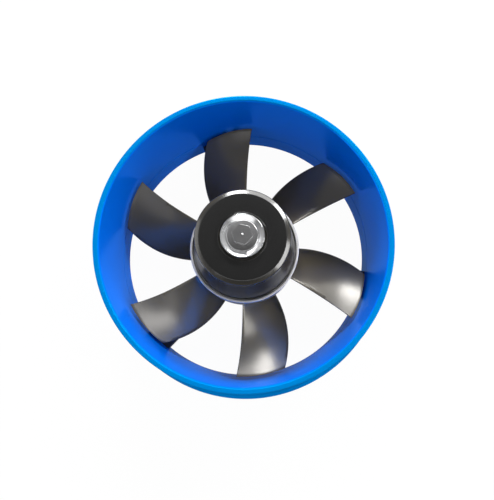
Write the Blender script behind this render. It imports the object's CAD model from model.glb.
# %% [markdown]
# # An inline duct fan, dressed for its picture
# The fan is a short blue duct ring with a wall flange at its rear, a three-arm carrier across that end,
# and a motor whose whole can turns with six twisted blades. The solid model is already made, so this
# lesson loads it as a frame, swaps the pieces that the eye rests on for finer meshes at the same places,
# and gives every piece a finish built from shader nodes.

# %% Load the frame
import math

import bmesh
import bpy
from mathutils import Matrix, Vector


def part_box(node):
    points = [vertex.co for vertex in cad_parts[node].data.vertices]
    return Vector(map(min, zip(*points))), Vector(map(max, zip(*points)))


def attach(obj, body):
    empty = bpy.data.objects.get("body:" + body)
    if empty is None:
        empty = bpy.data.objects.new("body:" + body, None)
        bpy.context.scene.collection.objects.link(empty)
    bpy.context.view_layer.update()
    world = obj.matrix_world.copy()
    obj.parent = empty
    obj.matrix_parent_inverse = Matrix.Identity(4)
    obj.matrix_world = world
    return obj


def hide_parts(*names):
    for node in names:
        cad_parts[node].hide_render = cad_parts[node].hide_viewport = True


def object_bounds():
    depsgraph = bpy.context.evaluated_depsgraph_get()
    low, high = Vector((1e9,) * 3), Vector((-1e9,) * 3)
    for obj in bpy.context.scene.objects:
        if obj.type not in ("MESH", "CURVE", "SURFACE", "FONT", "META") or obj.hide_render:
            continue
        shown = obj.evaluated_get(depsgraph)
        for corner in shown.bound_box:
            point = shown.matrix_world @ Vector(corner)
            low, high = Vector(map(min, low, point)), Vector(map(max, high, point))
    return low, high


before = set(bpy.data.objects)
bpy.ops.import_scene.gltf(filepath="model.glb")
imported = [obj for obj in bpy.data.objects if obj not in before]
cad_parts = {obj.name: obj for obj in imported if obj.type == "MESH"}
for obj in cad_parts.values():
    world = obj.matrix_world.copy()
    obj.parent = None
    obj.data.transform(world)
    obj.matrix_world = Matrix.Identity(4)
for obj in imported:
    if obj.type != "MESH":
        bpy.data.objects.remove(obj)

cad_low, cad_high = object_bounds()
print("solid model, mm:", [round(1000 * (b - a), 1) for a, b in zip(cad_low, cad_high)])

# %% [markdown]
# ## Measure the solids
# Everything later is placed from these boxes. The Z axis is the duct's axis and the fan stands on its
# flange at height zero, so half a box's width is a radius, and its lowest and highest corners are
# heights. A small helper turns a box into those three numbers.

# %% Radii and heights
MM = 0.001


def round_part(node):
    """(radius, bottom, top) of a part that is round about the Z axis."""
    low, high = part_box(node)
    return (high[0] - low[0]) / 2, low[2], high[2]


bead_r, duct_bottom, rim_z = round_part("duct_casing")
flange_r, _, flange_top = round_part("wall_flange")
can_r, can_bottom, can_top = round_part("rotor_can")
ring_r, ring_bottom, ring_top = round_part("impeller_ring")
boss_r, boss_bottom, boss_top = round_part("rotor_boss")
washer_r, washer_bottom, washer_top = round_part("boss_washer")
bolt_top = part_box("rotor_bolt")[1][2]
bead_h = 0.9 * MM
duct_r = bead_r - bead_h
wall = 3.1 * MM
bore_r = duct_r - wall
print("duct radius", round(duct_r / MM, 2), "bore radius", round(bore_r / MM, 2),
      "rim height", round(rim_z / MM, 2))

# %% [markdown]
# ## The camera
# The picture is taken from above the inlet, a little to the side of the terminal box's opposite, with an
# ordinary lens quite close to the fan: the bore visibly narrows towards its far end. The eye is given in
# duct radii from the middle of the rim, so it follows the fan's size, and so is the point it looks at.
# A third direction says which way is up in the picture. The lens is as long as the sensor is wide.

# %% Place the camera
EYE = Vector((0.0861, -0.5626, 3.2538))
AIM = Vector((0.0277, -0.0774, 0.0))
TILT = Vector((0.0, 0.98906, 0.14749))
SENSOR = 36.0
LENS = 36.0
NEAREST = 0.01

rim_centre = Vector((0, 0, rim_z))
eye = rim_centre + duct_r * EYE
forward = (duct_r * (AIM - EYE)).normalized()
right = forward.cross(TILT).normalized()
up = right.cross(forward)

camera = bpy.data.objects.new("picture_camera", bpy.data.cameras.new("picture_camera"))
bpy.context.scene.collection.objects.link(camera)
turned_to_aim = Matrix((right, up, -forward)).transposed().to_4x4()
camera.matrix_world = Matrix.Translation(eye) @ turned_to_aim
camera.data.sensor_width = SENSOR
camera.data.lens = LENS
camera.data.clip_start = NEAREST
bpy.context.scene.camera = camera
print("camera at", [round(v, 3) for v in eye])

# %% [markdown]
# ## Shader maths in plain Python
# A finish is a small sum of patterns: some noise here, some rings there. Math nodes can be wired for it
# by hand. Written with operators the sum can be read, and behind each operator one Math node is added.
# A colour would turn grey in a Math node, so colours go through a Mix node instead.

# %% A socket that can be calculated with
class Value:
    """A number that varies over the surface: one output socket."""

    def __init__(self, finish, socket):
        self.finish = finish
        self.socket = socket

    def math(self, operation, *terms, clamp=False):
        settings = {"operation": operation, "use_clamp": clamp}
        return self.finish.node("ShaderNodeMath", settings, dict(enumerate(terms)))

    def __add__(self, other):
        return self.math("ADD", self, other)

    __radd__ = __add__

    def __sub__(self, other):
        return self.math("SUBTRACT", self, other)

    def __rsub__(self, other):
        return self.math("SUBTRACT", other, self)

    def __mul__(self, other):
        return self.math("MULTIPLY", self, other)

    __rmul__ = __mul__

    def __pow__(self, other):
        return self.math("POWER", self, other)

    def sine(self):
        return self.math("SINE", self)

    def between(self, low, high):
        """0 below low, 1 above high, and a straight ramp in between."""
        return self.math("MULTIPLY", self - low, 1 / (high - low), clamp=True)


print("beside the operators a Value has:", [name for name in vars(Value) if name[0] != "_"])

# %% [markdown]
# ## A finish is a small tree of nodes
# On a real part the finish is what the maker does last: a grain from the mould, a turned face, a coat of
# lacquer. In Blender it is a Principled shader whose inputs are fed by patterns. Each pattern could be
# wired by hand in the editor. Here a few methods add the nodes instead, because twenty finishes then
# stay short and alike.

# %% A node tree that fills itself
class Nodes:
    """Adds nodes to one shader tree."""

    def __init__(self, tree):
        self.tree = tree

    def node(self, kind, settings=None, sockets=None, out=0):
        """Adds one node, sets it up, fills its sockets and gives back one output."""
        made = self.tree.nodes.new(kind)
        for key, value in (settings or {}).items():
            setattr(made, key, value)
        for key, value in (sockets or {}).items():
            self.feed(made.inputs[key], value)
        return Value(self, made.outputs[out])

    def feed(self, socket, value):
        """Links a Value to a socket, or sets the socket to a plain number or colour."""
        if isinstance(value, Value):
            self.tree.links.new(value.socket, socket)
        elif isinstance(value, tuple) and socket.type == "RGBA":
            socket.default_value = (*value, 1)
        else:
            socket.default_value = value

    def rays(self, *kinds):
        """1 for rays of the kinds named, 0 for the others."""
        first = self.node("ShaderNodeLightPath", out=f"Is {kinds[0]} Ray")
        for kind in kinds[1:]:
            other = self.node("ShaderNodeLightPath", out=f"Is {kind} Ray")
            first = first.math("MAXIMUM", first, other)
        return first


print("a tree can:", [name for name in vars(Nodes) if name[0] != "_"])

# %% [markdown]
# ## One finish, one material
# A finish starts with the Principled shader that every new material has, and adds to it by name. Noise,
# axis and radius measure the surface in metres from the fan's origin, so that a grain keeps its true
# size on every piece. Blend picks a colour between two, and relief raises a bump.

# %% A finish
class Finish(Nodes):
    """One material with its Principled shader, made node by node."""

    def __init__(self, name):
        self.material = bpy.data.materials.new(name)
        self.material.use_nodes = True
        super().__init__(self.material.node_tree)
        self.shader = self.tree.nodes["Principled BSDF"]
        self.place = self.node("ShaderNodeTexCoord", out="Object")

    def set(self, **sockets):
        """Feeds the shader's own sockets: underscores stand for the spaces in their names."""
        for key, value in sockets.items():
            self.feed(self.shader.inputs[key.replace("_", " ")], value)
        return self

    def noise(self, size, detail=3.0, roughness=0.5):
        """Cloudy noise whose lumps are about size metres across, from 0 to 1."""
        sockets = {"Vector": self.place, "Scale": 1 / size, "Detail": detail, "Roughness": roughness}
        return self.node("ShaderNodeTexNoise", None, sockets)

    def axis(self, letter):
        """The distance along one axis of the row frame, in metres."""
        return self.node("ShaderNodeSeparateXYZ", None, {0: self.place}, out=letter)

    def radius(self):
        """The distance from the duct's axis, in metres."""
        x, y = self.axis("X"), self.axis("Y")
        return (x * x + y * y) ** 0.5

    def blend(self, share, low, high):
        """A colour between two others."""
        settings = {"data_type": "RGBA"}
        return self.node("ShaderNodeMix", settings, {0: share, 6: low, 7: high}, out=2)

    def relief(self, height, depth, strength=1.0):
        """Raises the surface by depth metres where height is 1."""
        sockets = {"Height": height, "Distance": depth, "Strength": strength}
        self.set(Normal=self.node("ShaderNodeBump", None, sockets))
        return self


print("finish tools ready")

# %% [markdown]
# ## The duct's blue plastic
# The ring is moulded in one glossy cyan-blue plastic. Real mouldings aren't one colour: pigment flows in
# faint clouds, the surface has a soft orange-peel ripple, and handling dulls it in patches. Three noises
# at three sizes give those. Inside the bore the light falls from blue to blue, so the colour there is
# purer and deeper than on the rim. A clear coat would lay white glare over it. A small metallic share
# and a very weak, tinted specular do better, because their reflections stay blue.

# %% Blue plastic
BLUE = (0.0, 0.175, 0.50)
BLUE_DEEP = (0.0, 0.16, 0.46)
BORE_BLUE = (0.0, 0.15, 0.76)


def blue_plastic():
    f = Finish("blue_plastic")
    clouds = f.noise(40 * MM, 2)
    ripple = f.noise(1.6 * MM, 1)
    handling = f.noise(12 * MM, 4, 0.6)
    outside = f.radius().between(bore_r + 0.2 * MM, bore_r + 0.7 * MM)
    f.set(Base_Color=f.blend(outside, BORE_BLUE, f.blend(clouds, BLUE_DEEP, BLUE)))
    f.set(Roughness=0.17 + 0.06 * handling, Metallic=0.22)
    f.set(Specular_IOR_Level=0.012, Specular_Tint=(0.1, 0.75, 1.0))
    return f.relief(ripple, 0.03 * MM, 0.15).material


print("blue of the rim", BLUE, "and of the bore", BORE_BLUE)

# %% [markdown]
# ## Dark finishes
# The blades are a smooth charcoal moulding, the can is lacquered sheet steel, and the box is an
# ordinary black moulding with a fine spark-eroded grain. All three are dark, so nearly everything the
# eye gets from them is reflection: the colour stays simple and the work goes into roughness and relief.
# Two corrections keep them neutral in a blue duct. The blades' inner halves are a little warmer, and the
# can's side is rougher than its top, where a coat gives the front edge its hard shine.

# %% Charcoal, lacquer and grained plastic
def charcoal_plastic(name, colour, warm):
    f = Finish(name)
    clouds = f.noise(22 * MM, 2)
    ripple = f.noise(2.5 * MM, 1)
    streaks = f.noise(5 * MM, 4, 0.6)
    inner = 1 - f.radius().between(0.45 * bore_r, 0.85 * bore_r)
    f.set(Base_Color=f.blend(0.7 * inner + 0.3 * clouds, colour, warm))
    f.set(Roughness=0.20 + 0.06 * streaks)
    f.set(Specular_IOR_Level=0.5, Specular_Tint=(1.0, 0.97, 0.92))
    return f.relief(ripple, 0.04 * MM, 0.2).material


def black_lacquer():
    f = Finish("black_lacquer")
    peel = f.noise(1.1 * MM, 1)
    dust = f.noise(6 * MM, 5, 0.65)
    worn = f.axis("Z").between(can_top - 0.6 * MM, can_top)
    f.set(Base_Color=f.blend(worn, (0.016, 0.0140, 0.010), (0.008, 0.008, 0.008)))
    top = f.axis("Z").between(can_top - 5 * MM, can_top - 2 * MM)
    f.set(Roughness=0.29 + 0.10 * dust - 0.13 * top, Coat_Weight=0.6 * top)
    f.set(Specular_IOR_Level=0.45, Coat_Roughness=0.12)
    return f.relief(peel, 0.02 * MM, 0.35).material


def grained_plastic(name, colour):
    f = Finish(name)
    grain = f.noise(0.35 * MM, 2)
    shine = f.noise(9 * MM, 3)
    lighter = tuple(1.5 * c for c in colour)
    f.set(Base_Color=f.blend(shine, colour, lighter))
    f.set(Roughness=0.42 + 0.16 * shine)
    return f.relief(grain, 0.05 * MM, 0.5).material


print("the can's gloss fades between", round((can_top - 2 * MM) / MM, 1), "and",
      round((can_top - 5 * MM) / MM, 1), "mm above the floor")

# %% [markdown]
# ## Metals
# Turned parts carry fine rings from the lathe, sheet and cast parts carry grain. The rings are a sine of
# the radius, and they go into both roughness and relief, so that highlights break up along them as they
# do on a real turned face.

# %% Turned, cast and plated metal
FULL_TURN = 2 * math.pi
LATHE_PITCH = 0.22 * MM


def waves(distance, pitch):
    """Ridges from 0 to 1 that repeat every pitch metres."""
    return (distance * (FULL_TURN / pitch)).sine() * 0.5 + 0.5


def turned_metal(name, colour, roughness):
    f = Finish(name)
    rings = waves(f.radius(), LATHE_PITCH)
    stain = f.noise(4 * MM, 4, 0.6)
    darker = tuple(0.78 * c for c in colour)
    f.set(Base_Color=f.blend(stain, darker, colour), Metallic=1.0)
    f.set(Roughness=roughness + 0.05 * rings + 0.06 * stain)
    return f.relief(rings, 0.004 * MM, 0.35).material


def grained_metal(name, colour, roughness, grain=0.5 * MM, depth=0.02 * MM):
    f = Finish(name)
    pits = f.noise(grain, 3, 0.6)
    stain = f.noise(7 * MM, 4, 0.6)
    darker = tuple(0.7 * c for c in colour)
    f.set(Base_Color=f.blend(stain, darker, colour), Metallic=1.0)
    f.set(Roughness=roughness + 0.14 * pits)
    return f.relief(pits, depth, 0.5).material


print("lathe rings every", LATHE_PITCH / MM, "mm")

# %% [markdown]
# ## Iron stack, copper wire and paint
# The motor's iron is a pile of thin sheets, so its lines are a sine of the height. On the windings the
# sine follows the wire. Modelling each sheet or turn would cost thousands of faces for lines this fine.

# %% Stacked sheets, wound wire and satin paint
SHEET = 0.5 * MM
WIRE = 0.45 * MM


def stacked_sheets():
    f = Finish("stacked_sheets")
    layers = waves(f.axis("Z"), SHEET)
    stain = f.noise(5 * MM, 4, 0.6)
    f.set(Base_Color=f.blend(layers * 0.6 + stain * 0.4, (0.10, 0.10, 0.11), (0.34, 0.35, 0.37)))
    f.set(Metallic=0.9, Roughness=0.38 + 0.2 * stain)
    return f.relief(layers, 0.03 * MM, 0.6).material


def wound_wire():
    f = Finish("wound_wire")
    turns = waves(f.radius() + f.axis("Z") * 0.35, WIRE)
    varnish = f.noise(3 * MM, 4, 0.6)
    f.set(Base_Color=f.blend(turns * 0.7 + varnish * 0.3, (0.16, 0.05, 0.015), (0.62, 0.25, 0.09)))
    f.set(Metallic=0.7, Roughness=0.26 + 0.2 * varnish, Coat_Weight=0.4)
    return f.relief(turns, 0.12 * MM, 0.8).material


def satin_paint():
    f = Finish("satin_black_paint")
    powder = f.noise(0.7 * MM, 2)
    scuff = f.noise(8 * MM, 5, 0.65)
    f.set(Base_Color=f.blend(scuff, (0.018, 0.018, 0.02), (0.04, 0.04, 0.043)))
    f.set(Roughness=0.38 + 0.16 * scuff)
    return f.relief(powder, 0.05 * MM, 0.5).material


print("sheets of", SHEET / MM, "mm and wire of", WIRE / MM, "mm")

# %% [markdown]
# ## The list of finishes
# Each finish is made once and shared by all pieces that wear it, as a workshop mixes one pot of paint. A
# copy for each piece would look the same, but a later change would have to be made in every copy.

# %% List the finishes
finishes = {
    "blue": blue_plastic(),
    "blade": charcoal_plastic("blade_charcoal", (0.066, 0.062, 0.053), (0.100, 0.082, 0.046)),
    "ring": grained_metal("ring_steel", (0.80, 0.79, 0.78), 0.40),
    "lacquer": black_lacquer(),
    "box": grained_plastic("black_moulding", (0.012, 0.012, 0.013)),
    "nylon": grained_plastic("pale_nylon", (0.45, 0.45, 0.41)),
    "capacitor": grained_plastic("capacitor_case", (0.03, 0.04, 0.055)),
    "rubber": grained_plastic("soft_rubber", (0.008, 0.008, 0.008)),
    "jacket": grained_plastic("cable_jacket", (0.015, 0.015, 0.016)),
    "chrome": turned_metal("chromed_face", (0.86, 0.87, 0.88), 0.10),
    "bright": turned_metal("bright_steel", (0.76, 0.76, 0.77), 0.15),
    "shaft": turned_metal("turned_shaft", (0.56, 0.57, 0.58), 0.22),
    "bearing": turned_metal("ground_steel", (0.58, 0.59, 0.60), 0.16),
    "spring": grained_metal("spring_steel", (0.30, 0.31, 0.33), 0.30),
    "zinc": grained_metal("zinc_plate", (0.58, 0.59, 0.60), 0.26),
    "cast": grained_metal("cast_aluminium", (0.62, 0.63, 0.64), 0.38, 0.9 * MM, 0.06 * MM),
    "brass": grained_metal("terminal_brass", (0.62, 0.43, 0.15), 0.26),
    "sheets": stacked_sheets(),
    "wire": wound_wire(),
    "paint": satin_paint(),
}
print("finishes:", len(finishes))

# %% [markdown]
# ## Give the carried-over solids their finish
# Parts deep in the motor or inside the box keep their solid meshes, which are already right. They could
# be made again, but nobody would see it. Each gets its own finish here: its material slots are emptied
# and the new material goes in.

# %% Dress the carried-over solids
solids = {
    "zinc": ("carrier_screws", "motor_screws", "box_screws"),
    "cast": ("stator_base", "rotor_cage"),
    "sheets": ("stator_core", "rotor_core"),
    "wire": ("stator_windings",),
    "spring": ("wave_washer", "shaft_clip"),
    "bearing": ("rear_bearing_outer", "rear_bearing_balls", "rear_bearing_inner",
                "front_bearing_outer", "front_bearing_balls", "front_bearing_inner"),
    "shaft": ("shaft",),
    "jacket": ("motor_lead",),
    "rubber": ("lead_grommet", "gland_seal"),
    "nylon": ("terminal_block",),
    "brass": ("terminal_screws",),
    "capacitor": ("run_capacitor",),
    "box": ("rear_cap",),
}

for finish, names in solids.items():
    for name in names:
        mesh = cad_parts[name].data
        mesh.materials.clear()
        mesh.materials.append(finishes[finish])
print("solids with a finish:", sum(len(names) for names in solids.values()))

# %% [markdown]
# ## Tools for round pieces
# Nearly all of a fan is turned: a half outline swept once round the axis. An outline typed as a few
# corners is exact but looks cut from card, because real edges are slightly rounded and it is those
# roundings that catch the light. So the corners are rounded first, then the outline is swept.

# %% Round an outline's corners
def rounded(corners, radii, steps=5):
    """The closed outline with each corner replaced by an arc of the radius given for it."""
    points = []
    count = len(corners)
    for i, corner in enumerate(corners):
        here = Vector(corner)
        before = Vector(corners[i - 1]) - here
        after = Vector(corners[(i + 1) % count]) - here
        radius = radii[i]
        if radius <= 0:
            points.append(here)
            continue
        half = before.angle(after) / 2
        cut_back = min(radius / math.tan(half), 0.49 * before.length, 0.49 * after.length)
        radius = cut_back * math.tan(half)
        inward = (before.normalized() + after.normalized()).normalized()
        centre = here + inward * (radius / math.sin(half))
        start = here + before.normalized() * cut_back - centre
        end = here + after.normalized() * cut_back - centre
        sweep = start.angle_signed(end)
        for k in range(steps + 1):
            turn = -sweep * k / steps
            points.append(centre + Matrix.Rotation(turn, 2) @ start)
    return points


square = rounded([(0, 0), (1, 0), (1, 1), (0, 1)], [0.2] * 4)
print("a square with rounded corners has", len(square), "points")

# %% [markdown]
# ## From mesh to piece
# A mesh becomes part of the fan when it has a name, a finish and a body to ride on. It also says which
# solid it stands for, so that the solid is hidden. Smooth shading alone would smear light over real
# corners, and flat shading would show every facet. So all faces are smooth, and edges that turn more
# sharply than a given angle are marked sharp.

# %% Make a piece from a mesh
def piece(name, bm, body, finish, nodes=(), sharp=32, *, slot):
    """Makes an object from a bmesh, with edges over the sharp angle hard, and ties it to the frame."""
    bmesh.ops.recalc_face_normals(bm, faces=bm.faces)
    for face in bm.faces:
        face.smooth = True
    for edge in bm.edges:
        if len(edge.link_faces) == 2:
            edge.smooth = edge.calc_face_angle(0) < math.radians(sharp)
    mesh = bpy.data.meshes.new(name)
    bm.to_mesh(mesh)
    bm.free()
    mesh.materials.append(finishes[finish])
    obj = bpy.data.objects.new(name, mesh)
    bpy.context.scene.collection.objects.link(obj)
    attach(obj, body)
    if nodes:
        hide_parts(*nodes)
    print(name, "faces:", len(mesh.polygons))


# %% [markdown]
# ## Sweep round the axis
# A lathe's shape is an outline swept round the axis. A Screw modifier would do it too. Written in mesh
# code it takes exact radii, and a point on the axis closes to a single vertex.

# %% Turn an outline
ON_AXIS = 1e-7


def turned(outline, steps=160, closed=True):
    """A bmesh of the outline, radius and height in turn, swept round the Z axis."""
    bm = bmesh.new()
    rings = []
    for r, z in outline:
        if r < ON_AXIS:
            rings.append([bm.verts.new((0, 0, z))])
        else:
            angles = [FULL_TURN * k / steps for k in range(steps)]
            rings.append([bm.verts.new((r * math.cos(a), r * math.sin(a), z)) for a in angles])
    following = rings[1:] + rings[:1] if closed else rings[1:]
    for a, b in zip(rings, following):
        for k in range(steps):
            n = (k + 1) % steps
            if len(a) == 1 and len(b) == 1:
                continue
            if len(a) == 1:
                bm.faces.new((a[0], b[n], b[k]))
            elif len(b) == 1:
                bm.faces.new((a[k], a[n], b[0]))
            else:
                bm.faces.new((a[k], a[n], b[n], b[k]))
    return bm


print("points on the axis are those nearer than", ON_AXIS, "m")

# %% [markdown]
# ## Draw upward and place
# A stamped or moulded shape is a flat outline drawn upward, as a Solidify modifier would. Pieces that
# repeat are made once at the origin and carried out to their angle and radius by a matrix.

# %% Draw flat work upward
def prism(outline, bottom, top):
    """A bmesh of a flat outline, drawn upward from bottom to top."""
    bm = bmesh.new()
    face = bm.faces.new([bm.verts.new((x, y, bottom)) for x, y in outline])
    grown = bmesh.ops.extrude_face_region(bm, geom=[face])
    upper = [v for v in grown["geom"] if isinstance(v, bmesh.types.BMVert)]
    bmesh.ops.translate(bm, verts=upper, vec=(0, 0, top - bottom))
    bmesh.ops.recalc_face_normals(bm, faces=bm.faces)
    return bm


def disc(radius, steps=48):
    """A circle as a flat outline."""
    angles = [FULL_TURN * k / steps for k in range(steps)]
    return [(radius * math.cos(a), radius * math.sin(a)) for a in angles]


def slab(low, high):
    """A plain box between two corners, as a bmesh."""
    (x0, y0, z0), (x1, y1, z1) = low, high
    return prism([(x0, y0), (x1, y0), (x1, y1), (x0, y1)], z0, z1)


def moved(bm, matrix):
    """The same bmesh after a move."""
    bmesh.ops.transform(bm, matrix=matrix, verts=bm.verts)
    return bm


def at_angle(degrees, radius=0.0):
    """A matrix that carries a piece made at the origin out to a radius, then round the axis."""
    return Matrix.Rotation(math.radians(degrees), 4, "Z") @ Matrix.Translation((radius, 0, 0))


print("a disc of radius 1 starts at", disc(1)[0])

# %% [markdown]
# ## Join, cut and round
# Holes, seats and recesses are cut on the real parts, so they are cut here too, by a Boolean modifier
# with a tool of the hole's shape. A Bevel modifier then rounds the edges that are left. Modifiers need
# objects, so each mesh goes into a work object that is removed at the end. Exact Booleans are slower
# than fast ones and don't fail where faces touch.

# %% Join meshes and carve them
def add(bm, other, matrix=None):
    """Puts a copy of one bmesh into another and frees the copy."""
    mesh = bpy.data.meshes.new("spare")
    if matrix:
        moved(other, matrix)
    other.to_mesh(mesh)
    other.free()
    bm.from_mesh(mesh)
    bpy.data.meshes.remove(mesh)
    return bm


def carved(bm, tools, operation="DIFFERENCE", bevel=0, segments=2, angle=40):
    """The solid after cutting or joining each tool, with its sharp edges then rounded by a bevel."""
    holders = []
    for source in [bm] + tools:
        mesh = bpy.data.meshes.new("work")
        bmesh.ops.recalc_face_normals(source, faces=source.faces)
        source.to_mesh(mesh)
        source.free()
        holder = bpy.data.objects.new("work", mesh)
        bpy.context.scene.collection.objects.link(holder)
        holders.append(holder)
    target = holders[0]
    for tool in holders[1:]:
        step = target.modifiers.new("cut", "BOOLEAN")
        step.operation = operation
        step.solver = "EXACT"
        step.object = tool
    if bevel:
        edge = target.modifiers.new("edges", "BEVEL")
        edge.width = bevel
        edge.segments = segments
        edge.limit_method = "ANGLE"
        edge.angle_limit = math.radians(angle)
    bpy.context.view_layer.update()
    done = target.evaluated_get(bpy.context.evaluated_depsgraph_get())
    result = bmesh.new()
    result.from_mesh(done.to_mesh())
    done.to_mesh_clear()
    for holder in holders:
        mesh = holder.data
        bpy.data.objects.remove(holder)
        bpy.data.meshes.remove(mesh)
    return result


print("mesh tools ready")

# %% [markdown]
# ## The duct ring
# The ring is a moulded tube. Its inlet end is a flat rim with a small chamfer on the inside, which
# shows as a bright thin circle; its outside has a bead that stops the pipe pushed over it; and a fine
# witness line from the mould's split runs round the bore. All of that is one turned outline. Three black
# lugs stand inside the rear end for the carrier's screws. They are slabs cut to the bore with a Boolean,
# and a piece of their own, because they are black.

# %% Turn the duct
ARM_ANGLE = 105.5
ARMS = [ARM_ANGLE, ARM_ANGLE + 120, ARM_ANGLE + 240]
SMOOTH_ROUND = 256
chamfer = 0.8 * MM
bead_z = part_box("terminal_box")[1][2] + 2 * MM
line_z = 14.5 * MM
line_half = 0.4 * MM
line_depth = 0.35 * MM

duct_outline = rounded(
    [(bore_r, duct_bottom), (duct_r, duct_bottom), (duct_r, bead_z), (bead_r, bead_z + bead_h),
     (bead_r, bead_z + 2 * bead_h), (duct_r, bead_z + 3 * bead_h), (duct_r, rim_z),
     (bore_r + chamfer, rim_z), (bore_r, rim_z - chamfer), (bore_r, line_z + line_half),
     (bore_r + line_depth, line_z), (bore_r, line_z - line_half)],
    [0, 0.3 * MM, 0, 0.5 * MM, 0.5 * MM, 0, 0.5 * MM, 0.25 * MM, 0.4 * MM, 0, 0, 0])
duct = turned(duct_outline, SMOOTH_ROUND)

lug_half = 7.25 * MM
lug_depth = 13 * MM
lug_bottom = duct_bottom + 3 * MM
lug_top = duct_bottom + 10.5 * MM
past_bore = 0.6 * MM
lugs = bmesh.new()
for angle in ARMS:
    lug = slab((bore_r - lug_depth, -lug_half, lug_bottom), (bore_r + past_bore, lug_half, lug_top))
    lugs = add(lugs, lug, at_angle(angle))
bore = prism(disc(bore_r, SMOOTH_ROUND), duct_bottom, rim_z)
lugs = carved(lugs, [bore], "INTERSECT", bevel=0.4 * MM, segments=3, angle=50)
piece("duct_shell", duct, "casing", "blue", ["duct_casing"], slot="blue_plastic")
piece("wall_lugs", lugs, "casing", "box", slot="black_plastic")

# %% [markdown]
# ## The wall flange
# The flange is a flat ring round the duct's rear end, by which the fan is screwed to a wall. It could be
# part of the duct's outline. As a ring of its own its four holes can be cut and its edges rounded by a
# bevel, so that the outer edge catches a line of light, and the duct's fine outline stays untouched.

# %% Turn and drill the flange
HOLES = 4
hole_r = 2.3 * MM
hole_circle = 80 * MM
first_hole = 45
edge_r = 0.5 * MM

flange = turned([(duct_r, duct_bottom), (flange_r, duct_bottom), (flange_r, flange_top),
                 (duct_r, flange_top)], SMOOTH_ROUND)
drills = []
for k in range(HOLES):
    drill = prism(disc(hole_r), duct_bottom - MM, flange_top + MM)
    drills.append(moved(drill, at_angle(first_hole + 360 / HOLES * k, hole_circle)))
flange = carved(flange, drills, bevel=edge_r, segments=3)
piece("flange_ring", flange, "casing", "blue", ["wall_flange"], slot="blue_plastic")

# %% [markdown]
# ## The blades
# Each blade lies on a screw surface, like a staircase without steps: as it turns through an angle it
# climbs by a fixed share of the lead. Near the tip it leans forward. The outline comes from two curves,
# the angle of the leading edge and the angle that the chord spans, both simple polynomials of the span.
# Thickness is added on both sides of that sheet, most at mid chord, with a swelling at the root where a
# moulded blade runs into its hub. Such a blade could also be sculpted, but a formula gives the pitch
# that moves air, and six blades that are exactly alike.

# %% Blade formulas
BLADES = 6
ADVANCE = 168 * MM
MID_ANGLE = 105
LEADING = (88.1, 1.7, -3.2)
ROOT_SPAN = 39
TIP_SPAN = 22.3
NARROWING = (0.784, 0.216)
RAKE = 6.2 * MM
RAKE_START = 0.364
CAMBER = 1.2 * MM
THICKNESS = 1.8 * MM
EDGE_SHARE = 0.62
ROOT_SWELL = 0.5
SWELL_SPAN = 0.05
MID_SHARE = 0.427
tip_gap = 1.75 * MM
tip_r = bore_r - tip_gap
mid_z = ring_bottom + MID_SHARE * (ring_top - ring_bottom)


def blade_point(u, s, side):
    """A point of the blade: share u along the span, share s along the chord, side -1 to +1."""
    r = ring_r + (tip_r - ring_r) * u
    leading = LEADING[0] + LEADING[1] * u + LEADING[2] * u * u
    span = ROOT_SPAN - (ROOT_SPAN - TIP_SPAN) * (NARROWING[0] * u + NARROWING[1] * u * u)
    angle = leading + span * s
    lean = max(0, (u - RAKE_START) / (1 - RAKE_START)) ** 2
    height = mid_z + ADVANCE / 360 * (MID_ANGLE - angle) + RAKE * lean
    bulge = math.sin(math.pi * s)
    slope = ADVANCE / (FULL_TURN * r)
    root = max(0, 1 - u / SWELL_SPAN) ** 2
    share = EDGE_SHARE + (1 - EDGE_SHARE) * bulge + ROOT_SWELL * root
    half = THICKNESS / 2 * math.hypot(1, slope) * share
    a = math.radians(angle)
    return Vector((r * math.cos(a), r * math.sin(a), height + CAMBER * bulge + side * half))


print("root at", [round(v / MM, 1) for v in blade_point(0, 0.5, 0)],
      "tip at", [round(v / MM, 1) for v in blade_point(1, 0.5, 0)])

# %% [markdown]
# ## Six blades in one moulding
# The real impeller comes out of its mould in one shot, blades and all. A blade is a stack of closed
# loops from root to tip, each running along the upper side, round the edge and back below. Neighbouring
# loops are joined by quads, and the first and last are capped. The loops lie closer together near the
# root, where the shape changes fastest. Then the blade is made six times round the axis and a bevel
# rounds the tips. Six separate objects would also do, but they would never move apart.

# %% Build one blade and repeat it
SPAN_STEPS = 26
CHORD_STEPS = 18
CROWDING = 1.15
NOSE = 0.012
NOSE_HALF = 0.35


def blade_loop(u):
    """Points round the blade's section at one place along the span, with a rounded nose and tail."""
    chord = [NOSE + (1 - 2 * NOSE) * j / CHORD_STEPS for j in range(CHORD_STEPS + 1)]
    above = [blade_point(u, s, 1) for s in chord]
    tail = [blade_point(u, 1, NOSE_HALF), blade_point(u, 1, -NOSE_HALF)]
    below = [blade_point(u, s, -1) for s in reversed(chord)]
    nose = [blade_point(u, 0, -NOSE_HALF), blade_point(u, 0, NOSE_HALF)]
    return above + tail + below + nose


def one_blade():
    """A bmesh of one blade: loops joined from root to tip, with both ends capped."""
    bm = bmesh.new()
    spans = [(k / SPAN_STEPS) ** CROWDING for k in range(SPAN_STEPS + 1)]
    loops = [[bm.verts.new(p) for p in blade_loop(u)] for u in spans]
    count = len(loops[0])
    for a, b in zip(loops, loops[1:]):
        for k in range(count):
            n = (k + 1) % count
            bm.faces.new((a[k], a[n], b[n], b[k]))
    for loop in (loops[0], loops[-1]):
        bm.faces.new(loop)
    return bm


blades = bmesh.new()
for k in range(BLADES):
    blades = add(blades, one_blade(), at_angle(360 / BLADES * k))
blades = carved(blades, [], bevel=0.35 * MM, segments=2, angle=60)
piece("fan_blades", blades, "rotor", "blade", ["impeller_blades"], sharp=40, slot="blade_black")

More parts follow.
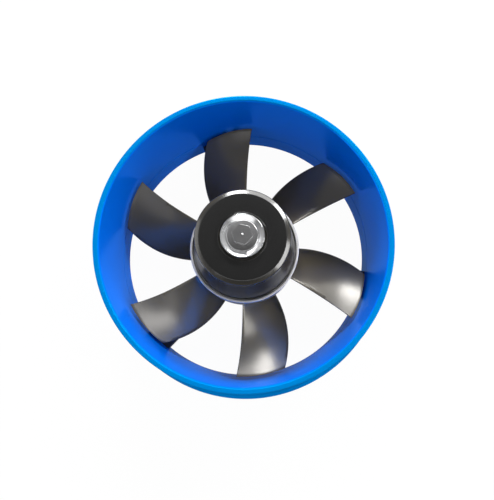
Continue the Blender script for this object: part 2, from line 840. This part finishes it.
# %% [markdown]
# ## The hub ring
# The blades grow from a ring that is pushed over the open end of the can. Its front edge stands a little
# clear of the can, which leaves a thin dark groove between the two. It could be drawn as part of the
# can, but the groove and its own grey metal are what tell the eye that it is a second part.

# %% Turn the hub ring
HUB_ROUND = 192
groove_r = can_r + 1.0 * MM
groove_bottom = ring_top - 5 * MM
ledge_r = can_r - 1.6 * MM
ledge_top = ring_bottom + 2.8 * MM
hub_outline = rounded(
    [(ledge_r, ring_bottom), (ring_r, ring_bottom), (ring_r, ring_top), (groove_r, ring_top),
     (groove_r, groove_bottom), (can_r, groove_bottom), (can_r, ledge_top), (ledge_r, ledge_top)],
    [0.2 * MM, 0.4 * MM, 0.35 * MM, 0.2 * MM, 0, 0, 0, 0])
hub = turned(hub_outline, HUB_ROUND)
piece("hub_ring", hub, "rotor", "ring", ["impeller_ring"], slot="ring_black")

# %% [markdown]
# ## The rotor can
# The can is drawn from sheet, so it tapers towards its front. Its front edge is a narrow cone between
# two roundings, and in its face is a shallow round seat for the boss. One full rounding would mirror
# only a thread of light. The cone tilts a whole band the same way, so a lamp behind the fan draws the
# broad bright crescent that such a can shows.

# %% Turn the can
can_wall = 1.5 * MM
front_r = 23.6 * MM
edge_width = 2.4 * MM
edge_drop = 1.05 * MM
seat_r = boss_r + 1.2 * MM
seat_z = boss_bottom
skirt_top = 31.8 * MM
can_floor = can_top - 4 * MM
shaft_r = 4 * MM
step_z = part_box("rotor_cage")[1][2]
step_depth = 0.5 * MM
liner_r = can_r - can_wall

can_outline = rounded(
    [(liner_r, can_bottom), (can_r, can_bottom), (can_r, skirt_top),
     (front_r, can_top - edge_drop), (front_r - edge_width, can_top),
     (seat_r, can_top), (seat_r, seat_z), (shaft_r, seat_z), (shaft_r, can_floor),
     (front_r - can_wall, can_floor), (liner_r - step_depth, step_z), (liner_r, step_z)],
    [0.2 * MM, 0.3 * MM, 0.8 * MM, 0.9 * MM, 1.6 * MM, 0.4 * MM, 0.2 * MM, 0, 0, MM, 0.2 * MM, 0],
    steps=10)
can = turned(can_outline, HUB_ROUND)
piece("can_shell", can, "rotor", "lacquer", ["rotor_can"], slot="can_black")

# %% [markdown]
# ## The boss and washer
# A bright dished boss clamps the can to the shaft, under a thin washer. Both are turned, so both are
# outlines swept round the axis. The boss's dish is a cone, and its narrow lip is rounded on both sides,
# so that it can catch a thin line of light. A flat disc would be easier, but it mirrors one even tone,
# where a dish shows light and dark in turn.

# %% Turn the boss and washer
bolt_r = 2.5 * MM
lip = 0.4 * MM
boss_outline = rounded(
    [(bolt_r, boss_bottom), (boss_r, boss_bottom), (boss_r, boss_top), (boss_r - lip, boss_top),
     (washer_r + 0.2 * MM, washer_bottom), (bolt_r, washer_bottom)],
    [0, 0.2 * MM, 0.3 * MM, 0.12 * MM, 0.2 * MM, 0])
boss = turned(boss_outline)
piece("dished_boss", boss, "rotor", "chrome", ["rotor_boss"], slot="chromed_boss")

washer_outline = rounded(
    [(bolt_r, washer_bottom), (washer_r, washer_bottom), (washer_r, washer_top), (bolt_r, washer_top)],
    [0, 0, 0.35 * MM, 0])
washer = turned(washer_outline, 128)
piece("ring_washer", washer, "rotor", "bright", ["boss_washer"], slot="polished_steel")

# %% [markdown]
# ## The bolt head
# The small hexagon head is a six-sided prism. It could be left so, but a real one is faced on a lathe
# that also takes off its corners. Keeping what lies inside a cone does the same. In its end is the ring
# groove round a little pip that the centre drill leaves, cut with a turned tool. The edges are shaded
# sharp even at small angles, so that the flat end stays flat in the light.

# %% Cut the bolt head
FLATS = 8.8 * MM
HEAD_TURN = -12
head_bottom = washer_top
bolt_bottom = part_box("rotor_bolt")[0][2]
corner_r = FLATS / 2 / math.cos(math.pi / 6)
face_r = corner_r - 0.25 * MM
cone_r = corner_r + 6 * MM
overlap = 0.2 * MM
pip_top = bolt_top - 0.12 * MM
pip_shoulder = bolt_top - 0.35 * MM
groove_floor = bolt_top - 1.4 * MM
clear_top = bolt_top + 0.1 * MM

head = moved(prism(disc(corner_r, 6), head_bottom, bolt_top), at_angle(HEAD_TURN))
cone = turned([(0, head_bottom - MM), (cone_r, head_bottom - MM), (face_r, bolt_top), (0, bolt_top)],
              96, closed=False)
head = carved(head, [cone], "INTERSECT", bevel=0.3 * MM, segments=2)
centre_groove = turned(
    [(0, pip_top), (0.4 * MM, pip_shoulder), (0.55 * MM, groove_floor), (1.15 * MM, groove_floor),
     (1.4 * MM, clear_top), (0, clear_top)], 48, closed=False)
head = carved(head, [centre_groove])
head = add(head, prism(disc(bolt_r), bolt_bottom, head_bottom + overlap))
piece("centred_bolt", head, "rotor", "bright", ["rotor_bolt"], sharp=15, slot="polished_steel")

# %% [markdown]
# ## The motor carrier
# The carrier is three flat arms and a plate, laser-cut from one sheet and powder-coated. Its outline
# could be typed point by point. Joining a disc, three slabs and three round pads gives the same shape
# from a few sizes. The holes are cut after, and a bevel rounds the edges as the powder coat does.

# %% Cut the carrier
_, carrier_bottom, carrier_top = round_part("motor_carrier")
plate_r = 25 * MM
arm_half = 4.75 * MM
pad_r = arm_half + 1.2 * MM
pad_at = bore_r - 7 * MM
arm_end = bore_r - 5 * MM
middle_hole_r = 11.2 * MM
seat_r_wide = 3.8 * MM
screw_r = 2 * MM
motor_circle = 18.6 * MM
notch_in, notch_out = 20 * MM, 26 * MM
notch_low, notch_high = -9.3 * MM, -5.7 * MM
below, above = carrier_bottom - MM, carrier_top + MM

plate = prism(disc(plate_r, 128), carrier_bottom, carrier_top)
parts = []
for angle in ARMS:
    arm = slab((plate_r - 4 * MM, -arm_half, carrier_bottom), (arm_end, arm_half, carrier_top))
    pad = prism(disc(pad_r, 64), carrier_bottom, carrier_top)
    parts += [moved(arm, at_angle(angle)), moved(pad, at_angle(angle, pad_at))]
plate = carved(plate, parts, "UNION")

screw_places = [(angle, pad_at) for angle in ARMS] + [(45 + 90 * k, motor_circle) for k in range(4)]
holes = [prism(disc(middle_hole_r, 96), below, above)]
for angle, radius in screw_places:
    seat = turned([(0, -MM), (seat_r_wide, -MM), (seat_r_wide, 0.2 * MM), (screw_r, 2 * MM),
                   (screw_r, above), (0, above)], 40, closed=False)
    holes.append(moved(seat, at_angle(angle, radius)))
lead_notch = slab((notch_in, notch_low, below), (notch_out, notch_high, above))
holes.append(moved(lead_notch, at_angle(ARM_ANGLE)))
plate = carved(plate, holes, bevel=0.25 * MM, segments=2, angle=50)
piece("carrier_plate", plate, "casing", "paint", ["motor_carrier"], slot="black_steel")

# %% [markdown]
# ## The terminal box
# The box is a small moulding that sits on the duct's outside, hidden behind the rim from the inlet
# side. Its foot follows the duct, its edges are rounded, and the lid is held by four screws in sunk
# seats. It is cut from a block: first a room is hollowed with the four screw posts kept, then the duct's
# curve and the gland's hole are taken away. Thin walls could be drawn by a Solidify modifier, but the
# posts and the curved foot would still need cutting.

# %% Mould the box and its lid
box_low, box_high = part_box("terminal_box")
lid_low, lid_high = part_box("box_lid")
box_wall = 2 * MM
box_floor_r = duct_r + 1.5 * MM
gland_low, gland_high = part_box("gland_body")
gland_y = (gland_low[1] + gland_high[1]) / 2
gland_z = (gland_low[2] + gland_high[2]) / 2
stem_r = 6 * MM
post_width, post_height = 4.4 * MM, 5.2 * MM
inset = 3 * MM
head_seat_r = 2.7 * MM
screw_hole_r = 1.5 * MM
screw_spots = [(x, z) for x in (box_low[0] + inset, box_high[0] - inset)
               for z in (box_low[2] + inset, box_high[2] - inset)]
along_y = Matrix.Rotation(math.radians(-90), 4, "X")
along_x = Matrix.Rotation(math.radians(90), 4, "Y")


def bar_y(radius, x, z, start, end):
    """A round bar along Y."""
    bar = prism(disc(radius, 32), 0, end - start)
    return moved(bar, Matrix.Translation((x, start, z)) @ along_y)


shell = slab(box_low, box_high)
room = slab((box_low[0] + box_wall, 0, box_low[2] + box_wall),
            (box_high[0] - box_wall, box_high[1] + MM, box_high[2] - box_wall))
keep = [prism(disc(box_floor_r, SMOOTH_ROUND), 0, box_high[2] + MM)]
for x, z in screw_spots:
    post_z = box_low[2] if z < gland_z else box_high[2] - post_height
    keep.append(slab((x - post_width / 2, 0, post_z - MM),
                     (x + post_width / 2, box_high[1] + 2 * MM, post_z + post_height + MM)))
room = carved(room, keep)
duct_curve = prism(disc(duct_r, SMOOTH_ROUND), -MM, box_high[2] + MM)
stem_hole = moved(prism(disc(stem_r), 0, 4 * MM),
                  Matrix.Translation((box_high[0] - 3 * MM, gland_y, gland_z)) @ along_x)
shell = carved(shell, [room, duct_curve, stem_hole], bevel=0.35 * MM, segments=2, angle=50)
piece("box_shell", shell, "casing", "box", ["terminal_box"], slot="black_plastic")

lid = slab(lid_low, lid_high)
seats = [bar_y(head_seat_r, x, z, lid_high[1] - MM, lid_high[1] + MM) for x, z in screw_spots]
seats += [bar_y(screw_hole_r, x, z, lid_low[1] - MM, lid_high[1] + MM) for x, z in screw_spots]
lid = carved(lid, seats, bevel=0.45 * MM, segments=3, angle=50)
piece("lid_plate", lid, "casing", "box", ["box_lid"], slot="black_plastic")

# %% [markdown]
# ## Lid screws
# Each is a low round head with a cross recess on a plain shank. The thread could be swept as a helix,
# but it is buried in the box. The recess is two crossed slabs cut from the head, which is enough for
# the eye to read a screw.

# %% Cut the lid screws
screw_low, screw_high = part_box("lid_screws")
head_height = 0.9 * MM
head_r = 2.4 * MM
shank_r = 1.2 * MM
arm_length, arm_width, recess_floor = 1.5 * MM, 0.3 * MM, 0.35 * MM
head_outline = rounded([(0, 0), (head_r, 0), (head_r, head_height), (0, head_height)],
                       [0, 0, 0.6 * MM, 0])
screws = bmesh.new()
for x, z in screw_spots:
    button = turned(head_outline, 48, closed=False)
    cross = [slab((-arm_length, -arm_width, recess_floor), (arm_length, arm_width, 2 * MM)),
             slab((-arm_width, -arm_length, recess_floor), (arm_width, arm_length, 2 * MM))]
    button = carved(button, cross)
    button = add(button, prism(disc(shank_r, 24), screw_low[1] - screw_high[1] + head_height, 0))
    place = Matrix.Translation((x, screw_high[1] - head_height, z)) @ along_y
    screws = add(screws, button, place)
piece("lid_screw_set", screws, "casing", "zinc", ["lid_screws"], slot="screw_steel")

# %% [markdown]
# ## The cable gland
# A hexagon body screws into the box's end wall, and a ribbed dome nut squeezes a rubber seal on the
# cable. Both are made standing up at the origin, where the lathe works, and are laid along X at the end.
# The ribs are small bars spaced round the nut, so that fingers can turn it.

# %% Build the gland
nut_low, nut_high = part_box("gland_nut")
nut_r = (nut_high[2] - nut_low[2]) / 2
hexagon_r = nut_r / math.cos(math.pi / 6)
collar_length = 4 * MM
cable_r = 3.2 * MM
hole_side = cable_r + 0.1 * MM
sunk = 0.2 * MM
stem_end = -2.6 * MM
neck_r, neck_bore, neck_end = stem_r - MM, 4.5 * MM, 8 * MM
wall_x = box_high[0]
to_gland = Matrix.Translation((wall_x, gland_y, gland_z)) @ along_x

body = prism(disc(hexagon_r, 6), 0, collar_length)
cable_hole = prism(disc(hole_side), -MM, collar_length + MM)
body = carved(body, [cable_hole], bevel=0.3 * MM, segments=2)
body = add(body, turned([(hole_side, stem_end), (stem_r, stem_end),
                         (stem_r, sunk), (hole_side, sunk)], 64))
body = add(body, turned([(neck_bore, collar_length - sunk), (neck_r, collar_length - sunk),
                         (neck_r, neck_end), (neck_bore, neck_end)], 64))
piece("gland_hexagon", moved(body, to_gland), "casing", "box", ["gland_body"], slot="black_plastic")

RIBS = 18
nut_length = nut_high[0] - wall_x
shoulder = nut_length - 2.5 * MM
rib_half = 0.35 * MM
core_r = nut_r - rib_half
nut_bore = neck_r + 0.05 * MM
dome = turned(rounded(
    [(nut_bore, collar_length), (core_r, collar_length), (core_r, shoulder),
     (nut_r - 2 * MM, nut_length), (cable_r, nut_length), (cable_r, shoulder), (nut_bore, shoulder)],
    [0, 0.2 * MM, 1.2 * MM, 0.6 * MM, 0.3 * MM, 0, 0]), 96)
for k in range(RIBS):
    rib = slab((core_r - sunk, -rib_half, collar_length + 0.3 * MM),
               (nut_r, rib_half, nut_length - 3 * MM))
    dome = add(dome, rib, at_angle(360 / RIBS * k))
piece("gland_dome", moved(dome, to_gland), "casing", "box", ["gland_nut"], slot="black_plastic")

# %% [markdown]
# ## Floor
# The fan stands on a plain pale floor. Seen by the camera the floor is white by its own glow, with a
# small share of real shading left in, so that a faint shadow stays. Mirrored in gloss and metal
# it is a mid grey, and darker where the fan's near side would shade it, because a fully white floor
# would light up every dark surface from below. The Light Path node tells those rays from the rest, and
# Mix Shaders choose. One bright lamp over a plain floor could do nearly the same, but it would flatten
# the duct.

# %% Lay the floor
FLOOR = 3.0
FLOOR_GLOW = 1.0
FLOOR_MIRRORED = (0.55, 0.55, 0.55)
FLOOR_SHADED = (0.1, 0.1, 0.1)
GLOW_SHARE = 0.97
MIRROR_SHARE = 0.9
UNDER_FAN = (60 * MM, 80 * MM)
NEAR_SIDE = (-36 * MM, -29 * MM)
CLEARANCE = 0.0002
floor_bm = bmesh.new()
bmesh.ops.create_grid(floor_bm, x_segments=1, y_segments=1, size=FLOOR)


def floor_finish():
    f = Finish("studio_floor")
    mottle = f.noise(0.25, 2)
    f.set(Base_Color=f.blend(mottle, (0.78, 0.78, 0.78), (0.82, 0.82, 0.82)), Roughness=0.9)
    f.set(Specular_IOR_Level=0.0)
    glow = f.node("ShaderNodeEmission", None, {"Strength": FLOOR_GLOW})
    under_fan = 1 - f.radius().between(*UNDER_FAN)
    near_side = 1 - f.axis("Y").between(*NEAR_SIDE)
    mirror_tone = f.blend(under_fan * near_side, FLOOR_MIRRORED, FLOOR_SHADED)
    mirrored = f.node("ShaderNodeEmission", None, {"Color": mirror_tone})
    plain = Value(f, f.shader.outputs[0])
    in_gloss = f.rays("Glossy", "Transmission") * MIRROR_SHARE
    shared = f.node("ShaderNodeMixShader", None, {0: in_gloss, 1: plain, 2: mirrored})
    to_eye = f.rays("Camera") * GLOW_SHARE
    seen = f.node("ShaderNodeMixShader", None, {0: to_eye, 1: shared, 2: glow})
    f.feed(f.tree.nodes["Material Output"].inputs["Surface"], seen)
    return f.material


floor_mesh = bpy.data.meshes.new("studio_floor")
floor_bm.to_mesh(floor_mesh)
floor_bm.free()
floor_mesh.materials.append(floor_finish())
floor = bpy.data.objects.new("studio_floor", floor_mesh)
floor.location.z = cad_low[2] - CLEARANCE
bpy.context.scene.collection.objects.link(floor)
print("floor laid at", round(floor.location.z, 4))

# %% [markdown]
# ## Light
# Soft boxes do the lighting, as in a real studio. A wide one behind the fan fills the bore and draws the
# crescent on the can's front edge. Two small, strong ones, behind and to the right behind, are mirrored
# as the white patches on two of the blades. One at the right gives the third, a long one in front
# lights the bolt and boss, and a long one at the left softens the left side. Each is given by its name,
# its direction as azimuth and elevation in degrees, its distance, width and height in metres, and its
# power in watts. One large lamp could light all of it, but glossy parts show the lamp's own shape, so
# each reflection gets a lamp of the right size.

# %% Hang the soft boxes
def soft_box(name, azimuth, elevation, distance, width, height, power):
    """A rectangular lamp in a direction from the fan, turned towards it."""
    lamp = bpy.data.lights.new(name, "AREA")
    lamp.shape = "RECTANGLE"
    lamp.size = width
    lamp.size_y = height
    lamp.energy = power
    holder = bpy.data.objects.new(name, lamp)
    a, e = math.radians(azimuth), math.radians(elevation)
    out = Vector((math.cos(e) * math.cos(a), math.cos(e) * math.sin(a), math.sin(e)))
    holder.location = rim_centre + distance * out
    holder.rotation_euler = (-out).to_track_quat("-Z", "Y").to_euler()
    bpy.context.scene.collection.objects.link(holder)
    print(name, "at", [round(v, 3) for v in holder.location])


soft_box("rear_box", 76, 31, 0.9, 0.60, 0.44, 4.8)
soft_box("core_box", 98, 31, 0.85, 0.26, 0.22, 6.0)
soft_box("right_box", 45, 31, 0.9, 0.26, 0.22, 5.2)
soft_box("low_box", 346, 43, 0.9, 0.48, 0.22, 3.3)
soft_box("front_box", 270, 61, 0.9, 1.10, 0.24, 1.3)
soft_box("left_box", 185, 26, 0.9, 1.10, 0.36, 2.6)

# %% [markdown]
# ## The world around the fan
# What no lamp covers, glossy parts mirror from the world. It is a soft grey that darkens straight above,
# a little tilted towards the front, so that the can's flat face stays dark while its sides keep some
# light. Where the camera looks past the floor it is white. A picture of a studio wrapped round the scene
# would also work, but a gradient of two greys is easier to steer.

# %% Paint the world
ZENITH = (0.06, 0.06, 0.06)
HORIZON = (0.55, 0.55, 0.55)
WHITE = (1.0, 1.0, 1.0)
TILT_UP, TILT_BACK = 0.96, 0.28
DARK_FROM, DARK_AT = 0.6, 0.97
world = bpy.data.worlds.new("studio_world")
bpy.context.scene.world = world
world.use_nodes = True
sky = Nodes(world.node_tree)
direction = sky.node("ShaderNodeTexCoord", out="Generated")
height = sky.node("ShaderNodeSeparateXYZ", None, {0: direction}, out="Z")
rearward = sky.node("ShaderNodeSeparateXYZ", None, {0: direction}, out="Y")
upward = height * TILT_UP - rearward * TILT_BACK
darkness = upward.between(DARK_FROM, DARK_AT)
tint = sky.node("ShaderNodeMix", {"data_type": "RGBA"}, {0: darkness, 6: HORIZON, 7: ZENITH}, out=2)
around = sky.node("ShaderNodeBackground", None, {"Color": tint})
white = sky.node("ShaderNodeBackground", None, {"Color": WHITE})
chosen = sky.node("ShaderNodeMixShader", None, {0: sky.rays("Camera"), 1: around, 2: white})
sky.feed(sky.tree.nodes["World Output"].inputs["Surface"], chosen)
bpy.context.scene.view_settings.view_transform = "Standard"
print("world nodes:", len(world.node_tree.nodes))

# %% [markdown]
# ## Last comparison
# Last, the box of the dressed fan is set beside the box of the solids. Dressing must not make the fan
# any bigger, because other people's scenes place it by the solids. Both boxes are measured in metres,
# written to a small file and printed in millimetres.

# %% Compare the boxes and close
print("solids, mm:", [round(1000 * (b - a), 2) for a, b in zip(cad_low, cad_high)])
